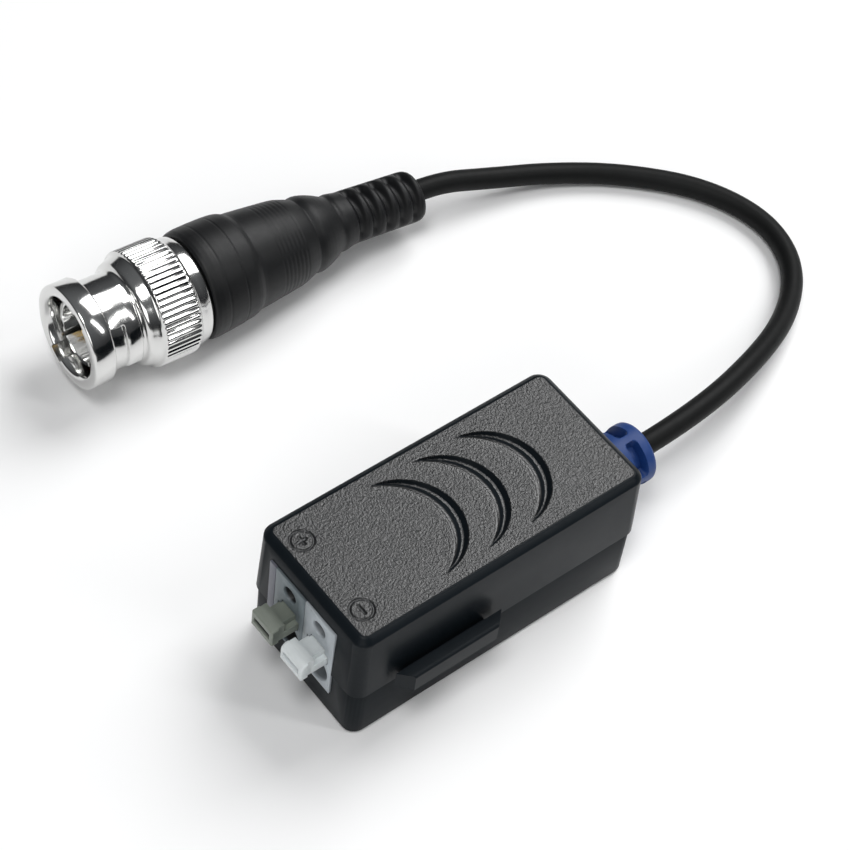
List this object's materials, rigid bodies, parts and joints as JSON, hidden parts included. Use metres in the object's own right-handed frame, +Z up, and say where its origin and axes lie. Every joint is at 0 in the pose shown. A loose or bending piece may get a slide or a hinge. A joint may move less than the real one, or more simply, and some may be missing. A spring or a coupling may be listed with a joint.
{
  "type": "video balun",
  "caption": "Black moulded video balun with a push-lever wire terminal and side rail, on a short coax lead ending in a bayonet video plug with a moulded boot.",
  "frame": {"origin": "centre of the housing's flat underside", "axes": "+Z up out of the top face, +Y towards the lead and strain relief, -Y out of the wire terminal, +X towards the joining rail"},
  "size_m": [0.0656, 0.0911, 0.0174],
  "materials": {
    "black_plastic": "semi-gloss moulded, very fine grain",
    "end_plate_plastic": "moulded",
    "grey_plastic": "moulded",
    "white_plastic": "moulded",
    "grey_lever_plastic": "moulded",
    "white_lever_plastic": "moulded",
    "tinned_brass": "tinned",
    "spring_steel": "bright",
    "board": "solder mask",
    "base_plastic": "moulded",
    "ferrite": "sintered",
    "winding_wire": "enamelled",
    "winding_wire_red": "enamelled",
    "ceramic": "glazed",
    "capacitor_coat": "dipped",
    "resistor_coat": "lacquered",
    "blue_rubber": "moulded",
    "lead_jacket": "smooth",
    "copper": "bare",
    "boot_rubber": "moulded",
    "nickel": "bright nickel",
    "insulator_plastic": "smooth",
    "gilt_brass": "gilt",
    "seal_rubber": "smooth"
  },
  "bodies": {
    "housing": {"upper_shell": "black_plastic", "lower_shell": "black_plastic", "terminal_end_plate": "end_plate_plastic", "plus_pole": "grey_plastic", "minus_pole": "white_plastic", "plus_contact_bar": "tinned_brass", "minus_contact_bar": "tinned_brass", "plus_clamp_spring": "spring_steel", "minus_clamp_spring": "spring_steel", "circuit_board": "board", "transformer_base": "base_plastic", "transformer_core": "ferrite", "line_winding": "winding_wire", "coax_winding": "winding_wire_red", "surge_arrester": "ceramic", "ceramic_capacitor": "capacitor_coat", "series_resistor": "resistor_coat", "strain_relief": "blue_rubber", "lead_inside": "lead_jacket", "core_wire": "copper", "screen_wire": "copper", "coax_lead": "lead_jacket", "lead_in_boot": "lead_jacket", "plug_boot": "boot_rubber", "plug_body": "nickel", "plug_insulator": "insulator_plastic", "centre_pin": "gilt_brass", "spring_washer": "spring_steel", "sealing_ring": "seal_rubber", "retaining_collar": "nickel", "crimp_ferrule": "nickel"},
    "plus_lever": {"plus_lever": "grey_lever_plastic"},
    "minus_lever": {"minus_lever": "white_lever_plastic"},
    "coupling_nut": {"coupling_nut": "nickel"}
  },
  "joints": [
    {"name": "plus_lever_push", "type": "slide", "parent": "housing", "child": "plus_lever", "axis": [0, 1, 0], "range_m": [0, 0.0016], "stiffness_N_per_m": 2500, "springref_m": -0.0015},
    {"name": "minus_lever_push", "type": "slide", "parent": "housing", "child": "minus_lever", "axis": [0, 1, 0], "range_m": [0, 0.0016], "stiffness_N_per_m": 2500, "springref_m": -0.0015},
    {"name": "coupling_nut_turn", "type": "hinge", "parent": "housing", "child": "coupling_nut", "pos_m": [-0.04733, -0.01754, 0.00792], "axis": [0.0418, 0.9975, -0.0562], "continuous": true}
  ]
}
